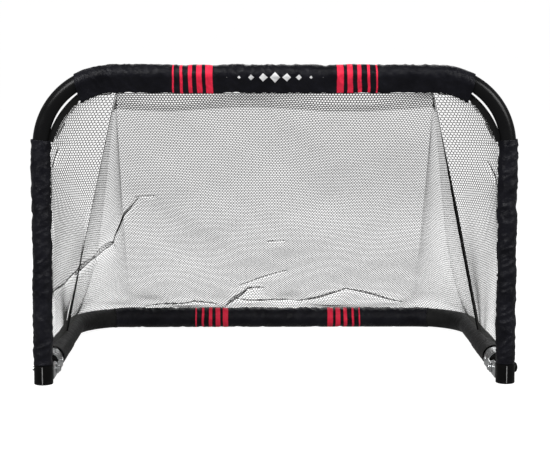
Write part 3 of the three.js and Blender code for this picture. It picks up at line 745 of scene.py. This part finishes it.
class Fan:
    """A cone of cloth between an apex and a rim, which unrolls flat about the apex."""

    def __init__(self, apex, rim, flat_apex, first_angle, turn, outside):
        self.apex = apex
        self.rim = rim
        rays = rim - apex
        self.lengths = np.linalg.norm(rays, axis=1)
        units = rays / self.lengths[:, None]
        steps = np.arccos(np.clip((units[1:] * units[:-1]).sum(axis=1), -1, 1))
        self.angles = np.concatenate([[0], np.cumsum(steps)])
        run = self.angles / self.angles[-1]
        quarter = run * math.pi / 2
        rounded = np.stack([np.sin(quarter), 1 - np.cos(quarter), run], axis=1)
        self.chord = rim[0] + (rim[-1] - rim[0]) * (run[:, None] + rounded) / 2
        self.flat_apex = np.array(flat_apex)
        self.first_angle = first_angle
        self.turn = turn
        normals = np.cross(np.gradient(rim, axis=0), rays)
        normals /= np.linalg.norm(normals, axis=1)[:, None]
        self.normals = normals * np.sign(normals @ outside)[:, None]

    def flat_rim(self):
        angle = self.first_angle + self.turn * self.angles
        spokes = np.stack([np.cos(angle), np.sin(angle)], axis=1)
        return self.flat_apex + spokes * self.lengths[:, None]

    def angle_at(self, flat):
        """How far round the apex each flat point is from the cone's first edge."""
        offset = flat - self.flat_apex
        return self.turn * (np.arctan2(offset[:, 1], offset[:, 0]) - self.first_angle)

    def place(self, flat):
        """Points and normals in space for flat points, how far out each is, and which are inside."""
        radius = np.linalg.norm(flat - self.flat_apex, axis=1)
        angle = (self.angle_at(flat) + math.pi) % (2 * math.pi) - math.pi
        length = np.interp(angle, self.angles, self.lengths)
        share = radius / length
        rim, chord, normal = (
            np.stack([np.interp(angle, self.angles, source[:, k]) for k in range(3)], axis=1)
            for source in (self.rim, self.chord, self.normals)
        )
        rim = rim + (chord - rim) * (CORNER_CUT * (1 - np.clip(share, 0, 1) ** 4))[:, None]
        inside = (angle >= -1e-9) & (angle <= self.angles[-1]) & (share <= 1.0)
        return self.apex + (rim - self.apex) * share[:, None], normal, share, inside


def foot_rim(side, count=60):
    """Where the back of the net meets the base: from the end of the rear bar to the side's seam."""
    half = POST_X - FOOT_INSET
    reach = REAR_Y - FOOT_INSET
    bend = BASE_BEND_R - FOOT_INSET
    turns = np.linspace(0, math.pi / 2, count)
    rim = [(half - bend + bend * math.sin(a), reach - bend + bend * math.cos(a)) for a in turns]
    rim += [(half, y) for y in np.linspace(reach - bend, SEAM_FOOT[1], count // 2)[1:]]
    return np.array([(side * x, y, SEAM_FOOT[2]) for x, y in rim])


def front_edge(side):
    """The front edge of a net side, upwards: along the post, the tape and the crossbar's end."""
    points = [(POST_X - 16 * MM, POST_Y + 10 * MM, z) for z in np.linspace(72 * MM, 445 * MM, 30)]
    tape = [(x - 4 * MM, POST_Y + 3 * MM, z - 3 * MM) for x, _, z in corner_tape_line(1, 20)[::-1]]
    points += [spot for spot in tape if 448 * MM < spot[2] < 522 * MM]
    centre_x, centre_z = POST_X - FRONT_BEND_R, CROSSBAR_Z - FRONT_BEND_R
    flap = FRONT_BEND_R - FLAP_DROP
    turns = np.radians(np.linspace(33, 0, 12))
    points += [
        (centre_x + flap * math.sin(a), POST_Y + 3 * MM, centre_z + flap * math.cos(a)) for a in turns
    ]
    return np.array([(side * x, y, z) for x, y, z in points])


class Flank:
    """A net side, laid level between the seam and the front edge and bowed outwards. Flat places
    are measured from the seam towards the front, and up from the floor."""

    def __init__(self, side):
        edge = front_edge(side)
        self.heights = np.concatenate([[SEAM_FOOT[2]], edge[:, 2]])
        self.edge = np.concatenate([edge[:1], edge])
        top, foot = SEAM_TOP * [side, 1, 1], SEAM_FOOT * [side, 1, 1]
        rise = np.clip((self.heights - foot[2]) / (top[2] - foot[2]), 0, 1)
        self.seam = foot + (top - foot) * rise[:, None]
        corner = np.stack([self.edge[:, 0], self.seam[:, 1], self.heights], axis=1)
        middle = (self.seam + self.edge) / 2
        self.control = middle + 0.5 * (corner - middle)
        self.widths = 1.05 * np.linalg.norm(self.edge - self.seam, axis=1)
        self.side = side

    def place(self, flat):
        """Points and normals in space for flat points, how far across each is, and which are inside."""
        height = np.clip(flat[:, 1], self.heights[0], self.heights[-1])
        seam, control, edge = (
            np.stack([np.interp(height, self.heights, source[:, k]) for k in range(3)], axis=1)
            for source in (self.seam, self.control, self.edge)
        )
        width = np.interp(height, self.heights, self.widths)
        across = flat[:, 0] / width
        u = np.clip(across, 0, 1)[:, None]
        place = (1 - u) ** 2 * seam + 2 * u * (1 - u) * control + u ** 2 * edge
        tangent = 2 * (1 - u) * (control - seam) + 2 * u * (edge - control)
        normal = np.cross(tangent, [0.0, 0.0, 1.0])
        normal /= np.linalg.norm(normal, axis=1)[:, None] + 1e-9
        normal *= np.sign(normal[:, :1]) * self.side
        level = (flat[:, 1] >= self.heights[0]) & (flat[:, 1] <= self.heights[-1])
        return place, normal, across, (across >= 0) & (across <= 1) & level


def waves(flat, seed, sizes, heights):
    """Smooth unevenness: a few crossed ripples of each size."""
    draw = np.random.default_rng(seed)
    total = np.zeros(len(flat))
    for size, height in zip(sizes, heights):
        for _ in range(4):
            angle, phase = draw.uniform(0, 2 * math.pi, 2)
            along = flat @ np.array([math.cos(angle), math.sin(angle)])
            total += height / 2 * np.sin(2 * math.pi * along / size + phase)
    return total


def crease(flat, start, end, width, pull, lift):
    """A gathered crease between two flat points: how far the cloth shifts in its own plane towards
    the line, taking up slack, and how far it stands up. It fades out at both ends."""
    start, end = np.array(start) * MM, np.array(end) * MM
    run = end - start
    length = np.linalg.norm(run)
    across = np.array([-run[1], run[0]]) / length
    along = (flat - start) @ run / length ** 2
    away = (flat - start) @ across / (width * MM)
    fade = np.where((along > 0) & (along < 1), np.sin(math.pi * np.clip(along, 0, 1)) ** 0.45, 0.0)
    shift = -pull * MM * fade * np.tanh(away) * np.exp(-(away / 6) ** 2)
    return shift[:, None] * across, lift * MM * fade * np.exp(-(away / 2) ** 2)


def creased(flat, creases):
    """Flat points after every crease has pulled them, and how far each one stands up."""
    shifted, lift = flat.copy(), np.zeros(len(flat))
    for start_x, start_y, end_x, end_y, width, pull, rise in creases:
        shift, raised = crease(flat, (start_x, start_y), (end_x, end_y), width, pull, rise)
        shifted += shift
        lift += raised
    return shifted, lift


def hexagons(low, high, pitch):
    """The ends of every thread in a honeycomb that covers a flat box."""
    edge = pitch / math.sqrt(3)
    rows = np.arange(math.floor(low[1] / (1.5 * edge)) - 1, math.ceil(high[1] / (1.5 * edge)) + 2)
    spread = int((high[0] - low[0]) / pitch) + 4
    starts, ends = [], []
    for row in rows:
        first = math.floor(low[0] / pitch - row / 2) - 1
        columns = np.arange(first, first + spread)
        node = np.stack([columns * pitch + row * pitch / 2, np.full(spread, row * 1.5 * edge)], axis=1)
        for reach in ((0, edge), (-pitch / 2, -edge / 2), (pitch / 2, -edge / 2)):
            starts.append(node)
            ends.append(node + np.array(reach))
    return np.concatenate(starts), np.concatenate(ends)


def threads(starts, ends, normals, radius, sides=3):
    """A thin prism along each thread: its vertices and faces."""
    run = ends - starts
    length = np.linalg.norm(run, axis=1)
    real = length > 0.2 * MM
    starts, ends, normals, radius = starts[real], ends[real], normals[real], radius[real][:, None]
    run = run[real] / length[real][:, None]
    wide = np.cross(run, normals)
    wide /= np.linalg.norm(wide, axis=1)[:, None] + 1e-9
    high = np.cross(wide, run)
    rings = []
    for base in (starts, ends):
        for k in range(sides):
            angle = 2 * math.pi * k / sides
            rings.append(base + radius * (math.cos(angle) * high + math.sin(angle) * wide))
    vertices = np.stack(rings, axis=1).reshape(-1, 3)
    index = np.arange(len(starts))[:, None] * (2 * sides)
    corners = [(k, (k + 1) % sides, sides + (k + 1) % sides, sides + k) for k in range(sides)]
    quads = [index + np.array([corner]) for corner in corners]
    return vertices, np.stack(quads, axis=1).reshape(-1, 4)


def smooth_edge(share, width=0.05):
    """0 at both ends of a span and 1 away from them."""
    return np.clip(share / width, 0, 1) * np.clip((1 - share) / width, 0, 1)


class Net:
    """The whole net as flat patterns that are laid over the frame, hang slack and crease."""

    def __init__(self):
        self.top = SEAM_TOP
        self.foot_y = REAR_Y - FOOT_INSET
        self.drop = math.hypot(self.foot_y - self.top[1], self.top[2] - SEAM_FOOT[2])
        self.bar_half = POST_X - BASE_BEND_R
        lean = math.atan2(self.drop, self.bar_half - self.top[0])
        self.corners = {}
        self.flanks = {}
        for label, side in SIDES.items():
            apex = self.top * np.array([side, 1, 1])
            outside = np.array([side, 0.6, 0.6])
            first = lean if side > 0 else math.pi - lean
            self.corners[label] = Fan(apex, foot_rim(side), (side * self.top[0], 0), first, -side, outside)
            self.flanks[label] = Flank(side)

    def lay_back(self, pattern):
        """The back of the net: its flat middle between the two wrapped corners."""
        flat, raised = creased(pattern, BACK_CREASES)
        across, down = flat[:, 0], flat[:, 1]
        share = down / self.drop
        edge = self.top[0] + (self.bar_half - self.top[0]) * share
        y = self.top[1] + (self.foot_y - self.top[1]) * share
        z = self.top[2] + (SEAM_FOOT[2] - self.top[2]) * share
        place = np.stack([across, y, z], axis=1)
        slope = np.array([0.0, self.top[2] - SEAM_FOOT[2], self.foot_y - self.top[1]])
        normal = np.tile(slope / np.linalg.norm(slope), (len(flat), 1))
        inside = (np.abs(across) <= edge) & (share >= 0) & (share <= 1)
        hold = np.ones(len(flat))
        for label, side in SIDES.items():
            beyond = side * across > edge
            fan = self.corners[label]
            spot, lean, out, within = fan.place(flat)
            place[beyond], normal[beyond] = spot[beyond], lean[beyond]
            share = np.where(beyond, out, share)
            inside = np.where(beyond, within, inside)
            into_corner = np.clip(1 - fan.angle_at(flat) / (0.5 * fan.angles[-1]), 0, 1)
            hold = hold * np.where(beyond, into_corner, 1)
        slack = -17 * MM * np.sin(math.pi * np.clip(share, 0, 1))
        slack += waves(flat, 5, (0.34, 0.16, 0.07), (4 * MM, 1.3 * MM, 0.3 * MM))
        slack += 4 * MM * np.exp(-((share - 0.95) / 0.035) ** 2) * np.sin(across * 40)
        ends = smooth_edge(share, 0.03)
        return place + normal * (slack * hold * ends + raised * ends)[:, None], normal, inside

    def lay_side(self, label, pattern):
        """One side of the net, held at its seam, its front edge, its foot and its top."""
        flank = self.flanks[label]
        flat, raised = creased(pattern, SIDE_CREASES[label])
        place, normal, across, inside = flank.place(flat)
        slack = waves(flat, 8 if label == "left" else 9, (0.2, 0.09), (2.0 * MM, 0.6 * MM))
        height = (flat[:, 1] - SEAM_FOOT[2]) / (self.top[2] - SEAM_FOOT[2])
        hold = smooth_edge(across, 0.08) * smooth_edge(height, 0.05)
        return place + normal * ((slack + raised) * hold)[:, None], normal, inside

    def patterns(self):
        """Each flat pattern's laying rule and the flat box that holds it."""
        rims = [fan.flat_rim() for fan in self.corners.values()]
        reach = np.concatenate(rims + [np.array([[-0.3, 0.0], [0.3, self.drop]])])
        yield "back", self.lay_back, reach.min(axis=0), reach.max(axis=0)
        for label, flank in self.flanks.items():
            low = np.array([0.0, flank.heights[0]])
            high = np.array([flank.widths.max(), flank.heights[-1]])
            yield label, lambda flat, label=label: self.lay_side(label, flat), low, high

    def in_hem(self, label, flat):
        """Which flat points lie in the doubled edge along the crossbar and the corner tapes."""
        if label == "back":
            return flat[:, 1] < 42 * MM
        flank = self.flanks[label]
        width = np.interp(flat[:, 1], flank.heights, flank.widths)
        return (flat[:, 1] > 455 * MM) & (width - flat[:, 0] < 9 * MM)

    def thickness(self, label, flat):
        """The thread's thickness against the usual one: it is stretched finer in the corners."""
        if label != "back":
            return 0.34 + 0.78 * np.clip((flat[:, 1] - 80 * MM) / (290 * MM), 0, 1)
        down = np.clip(flat[:, 1] / self.drop - 0.3, 0, 0.5)
        return (1 - 0.16 * down) * (1 - self.round_corner(flat) * (0.30 + 0.75 * down))

    def round_corner(self, flat):
        """How far into a wrapped corner each flat point on the back is: 1 well before the seam."""
        share = np.zeros(len(flat))
        for fan in self.corners.values():
            share = np.maximum(share, np.clip(1.6 * fan.angle_at(flat) / fan.angles[-1], 0, 1))
        return share

    def lattice(self, pitch, radius):
        """The vertices and faces of all the net's threads, with a second layer along its hems."""
        vertices, faces, count = [], [], 0
        for label, lay, low, high in self.patterns():
            starts, ends = hexagons(low, high, pitch)
            start_place, start_normal, start_in = lay(starts)
            end_place, _, end_in = lay(ends)
            keep = start_in | end_in
            bore = radius * self.thickness(label, starts)
            for layer, chosen in enumerate((keep, keep & self.in_hem(label, starts))):
                normal = start_normal[chosen]
                behind = layer * (np.array([0.0, 0.0, pitch / 3]) - normal * 3 * MM)
                points, quads = threads(
                    start_place[chosen] + behind, end_place[chosen] + behind, normal,
                    (1 + 0.3 * layer) * bore[chosen],
                )
                vertices.append(points)
                faces.append(quads + count)
                count += len(points)
        return np.concatenate(vertices), np.concatenate(faces)


# Folding --------------------------------------------------------------------------------------

def turn_share(angle):
    """How much of the base's turn a point follows, by its angle above the base about the hinge."""
    return np.clip((FOLD_NONE - angle) / (FOLD_NONE - FOLD_FULL), 0, 1)


def smooth_inverse(weight):
    """The t for which t * t * (3 - 2 * t) is weight."""
    return 0.5 - math.sin(math.asin(1 - 2 * weight) / 3)


def band_blend(obj, low, high, reach):
    """Bends a band of net between two angles about the hinge, exact where reach(angle) says it lies."""
    t_low = smooth_inverse(float(turn_share(low)))
    t_high = smooth_inverse(float(turn_share(high)))
    t_hinge = (t_low + t_high) / 2
    arms = np.array([reach(low), reach(high)])
    slope = np.linalg.solve(arms, np.array([t_low - t_hinge, t_high - t_hinge]))
    run = slope / (slope @ slope)
    start = HINGE - t_hinge * run
    end = start + run
    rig.blend(obj, FRONT, BASE, start=(0, start[0], start[1]), end=(0, end[0], end[1]))


def line_reach(first, last):
    """For a straight edge of the net: the arm from the hinge to where the edge is, by angle."""
    a, b = first[1:] - HINGE, last[1:] - HINGE

    def arm(angle):
        ray = np.array([math.cos(angle), math.sin(angle)])
        distance, _ = np.linalg.solve(np.stack([ray, a - b], axis=1), a)
        return ray * distance

    return arm


def banded(name, vertices, faces, material, slot, reach, bands, nodes, cut=None):
    """Splits a mesh into bands about the hinge, and rides or bends each one with the fold. cut gives
    the flat size of a band from its number of faces, where it is wide enough to be a sheet."""
    middle = vertices[faces].mean(axis=1)[:, 1:] - HINGE
    angle = np.arctan2(middle[:, 1], middle[:, 0])
    limits = np.linspace(FOLD_FULL, FOLD_NONE, bands + 1)
    replaced = False
    for k in range(-1, bands + 1):
        low = -math.pi if k < 0 else limits[k]
        high = math.pi if k == bands else limits[k + 1]
        chosen = faces[(angle >= low) & (angle < high)]
        if not len(chosen):
            continue
        used, renumbered = np.unique(chosen, return_inverse=True)
        chosen = renumbered.reshape(chosen.shape)
        obj = make_object(f"{name}_{k + 2}", vertices[used], chosen, material, smooth=False)
        if k < 0:
            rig.ride(obj, BASE)
        elif k == bands:
            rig.ride(obj, FRONT)
        else:
            band_blend(obj, low, high, reach)
        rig.slot(obj, slot)
        if cut:
            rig.sheet(obj, flat=cut(len(chosen)), held="hung", rests_on=NET_HELD_BY)
        if not replaced:
            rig.replaces(obj, *nodes)
            replaced = True


def build_net(material, tape):
    """The whole net in bands about the hinge, and the tapes over its seams."""
    net = Net()
    pitch = 11 * MM if QUICK else NET_PITCH
    vertices, faces = net.lattice(pitch, NET_THREAD_R * (2 if QUICK else 1))
    slope = line_reach(net.top, np.array([0, net.foot_y, SEAM_FOOT[2]]))
    nodes = ["net_back"] + [f"net_side_{label}" for label in SIDES]
    across = 2 * POST_X

    def band_cut(count):
        """The flat size of that many faces of net, three to a thread and three threads to a cell."""
        area = count / 9 * pitch ** 2 * math.sqrt(3) / 2
        return across, area / across

    banded("net_band", vertices, faces, material, "net_thread", slope, 8, nodes, band_cut)
    build_seam_tapes(net, tape)


def build_seam_tapes(net, material):
    """The gathered tape over each seam between the back and a side, wider towards its foot."""
    share = np.linspace(0, 1, 90)
    for label, side in SIDES.items():
        top, foot = net.top * [side, 1, 1], SEAM_FOOT * [side, 1, 1]
        line = top + (foot - top) * share[:, None]
        wide = np.cross(np.gradient(line, axis=0), [0.0, 1.0, 0.0])
        wide /= np.linalg.norm(wide, axis=1)[:, None]
        grown = np.clip((share - SEAM_NARROW[label]) / 0.35, 0, 1)
        half_width = (0.4 + 2.9 * grown) * MM
        vertices, faces = ribbon(line, wide, half_width, 0.3 * MM)
        faces = np.array([face for face in faces if len(face) == 4])
        reach = line_reach(net.top, SEAM_FOOT)
        node = f"net_seam_tape_{label}"
        banded(f"seam_tape_{label}", vertices, faces, material, "binding_tape", reach, 5, [node])


# Hardware, camera and light -------------------------------------------------------------------

def build_small_fittings(plastic, painted_cap_highlight):
    """A raised bead down the front of each foot cap, coloured light grey as a painted highlight, and the cover on the
    right pivot nut.
    """
    for label, side in SIDES.items():
        low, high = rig.box(f"foot_cap_{label}")
        heights = np.linspace(low[2] + 2 * MM, high[2] - 2 * MM, 8)
        line = np.array([[side * POST_X, low[1], z] for z in heights])
        wide = np.tile([1.0, 0.0, 0.0], (len(line), 1))
        vertices, faces = ribbon(line, wide, 0.7 * MM, 0.5 * MM)
        # The bead's light grey is a painted highlight: the cap's own plastic is black.
        seam = make_object(f"foot_cap_{label}_line", vertices, faces, painted_cap_highlight, smooth=False)
        stand_for(seam, FRONT, "black_plastic")
    low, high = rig.box("pivot_nut_right")
    centre = (np.array(low) + np.array(high)) / 2
    count = 32
    rings = ((-5, 10.5), (1, 10.5), (5, 8.5), (7, 4.5))
    turns = np.linspace(0, 2 * math.pi, count, endpoint=False)
    vertices = [
        (high[0] + out * MM, centre[1] + radius * MM * math.cos(a), centre[2] + radius * MM * math.sin(a))
        for out, radius in rings for a in turns
    ]
    last = (len(rings) - 1) * count
    faces = grid_faces(len(rings), count) + [tuple(range(last, last + count)), tuple(range(count))[::-1]]
    cover = make_object("pivot_nut_right_cover", vertices, faces, plastic)
    stand_for(cover, FRONT, "black_plastic")


def dress_nodes(looks):
    """Gives each CAD node that still shows its material, with smooth shading over its facets."""
    for name, obj in frame["nodes"].items():
        if obj.hide_render:
            continue
        for word, material in looks:
            if word in name:
                obj.data.materials.clear()
                obj.data.materials.append(material)
                break
        obj.data.polygons.foreach_set("use_smooth", [True] * len(obj.data.polygons))
        weld = obj.modifiers.new("weld", "WELD")
        weld.merge_threshold = 0.01 * MM
        obj.modifiers.new("edges", "EDGE_SPLIT").split_angle = math.radians(32)


def backdrop(radius=14.0, height=16.0, count=64):
    """A white wall all round the studio. It lights nothing and shows in no reflection."""
    n = Nodes("studio_wall")
    white = n.finish(
        Base_Color=rgb(0, 0, 0), Roughness=1.0, Emission_Color=rgb(1, 1, 1), Emission_Strength=1.0,
    )
    turns = np.linspace(0, 2 * math.pi, count, endpoint=False)
    ring = [(radius * math.cos(a), radius * math.sin(a)) for a in turns]
    vertices = [(x, y, z) for z in (-0.1, height) for x, y in ring]
    wall = make_object("studio_wall", vertices, grid_faces(2, count), white)
    wall.visible_diffuse = False
    wall.visible_glossy = False
    wall.visible_shadow = False
    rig.stage(wall)


def set_stage():
    """A pale floor, a white wall round it and soft white light from all sides."""
    n = Nodes("studio_floor")
    floor_paint = n.finish(
        Base_Color=rgb(0.3, 0.3, 0.3), Roughness=0.9, Specular_IOR_Level=0.0,
        Emission_Color=rgb(1, 1, 1), Emission_Strength=0.93,
    )
    size, level = 15.0, -0.4 * MM
    corners = [(-size, -size, level), (size, -size, level), (size, size, level), (-size, size, level)]
    floor = make_object("studio_floor", corners, [(0, 1, 2, 3)], floor_paint, smooth=False)
    floor.visible_glossy = False
    floor.visible_diffuse = False
    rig.stage(floor)
    backdrop()
    world = bpy.data.worlds.new("studio")
    world.use_nodes = True
    background = world.node_tree.nodes["Background"]
    background.inputs["Color"].default_value = rgb(1, 1, 1)
    background.inputs["Strength"].default_value = 0.27
    bpy.context.scene.world = world
    bpy.context.scene.view_settings.view_transform = "Standard"


def area_light(name, place, target, size, power):
    """A square light that points at its target."""
    data = bpy.data.lights.new(name, "AREA")
    data.size = size
    data.energy = power
    light = bpy.data.objects.new(name, data)
    light.location = place
    light.rotation_euler = (Vector(target) - Vector(place)).to_track_quat("-Z", "Y").to_euler()
    bpy.context.scene.collection.objects.link(light)


def set_camera():
    """Seen from just left of the middle, at the crossbar's height, tilted a little down."""
    data = bpy.data.cameras.new("camera")
    data.sensor_width = 36
    data.lens = 96.0
    data.shift_y = -0.0795
    camera = bpy.data.objects.new("camera", data)
    camera.location = (-0.037, POST_Y - 2.70, 0.605)
    camera.rotation_euler = (math.radians(90 - 4.8), 0, math.radians(-0.79))
    bpy.context.scene.collection.objects.link(camera)
    bpy.context.scene.camera = camera


set_camera()
set_stage()
area_light("key", (-1.6, -2.6, 2.4), (0, 0, 0.3), size=1.4, power=105)
area_light("fill", (2.2, -1.8, 1.6), (0, 0, 0.3), size=1.2, power=45)
area_light("back", (0.4, 2.4, 2.0), (0, 0, 0.4), size=1.4, power=24)

front_frame_line, base_frame_line = frame_sections()
build_tubes(front_frame_line, base_frame_line, paint_material())
build_front_sleeves(
    front_frame_line,
    striped_cloth("crossbar_nylon", CROSSBAR_STRIPES, mark_height=MARK_Z),
    post_cloth(),
)
build_base_sleeves(
    base_frame_line,
    striped_cloth("rear_bar_nylon", REAR_STRIPES, middle=REAR_PRINT_MIDDLE),
    side_cloth(),
)
tape_cloth = tape_material()
build_corner_tapes(tape_cloth)
build_net(net_material(), tape_cloth)
zinc, plastic = zinc_material(), plastic_material()
# The caps' front bead takes a light grey: a painted highlight, not the plastic's own colour.
cap_highlight_paint = Nodes("painted_cap_highlight").finish(Base_Color=rgb(0.25, 0.25, 0.25), Roughness=0.35)
build_small_fittings(plastic, cap_highlight_paint)
dress_nodes((
    ("cap", plastic), ("collar", plastic), ("plug", plastic), ("pivot_nut", plastic), ("", zinc),
))

with open("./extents.json", "w") as out:
    json.dump({
        "cad": [list(map(float, corner)) for corner in cad_bounds],
        "visual": [list(map(float, corner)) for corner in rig.bounds()],
    }, out)
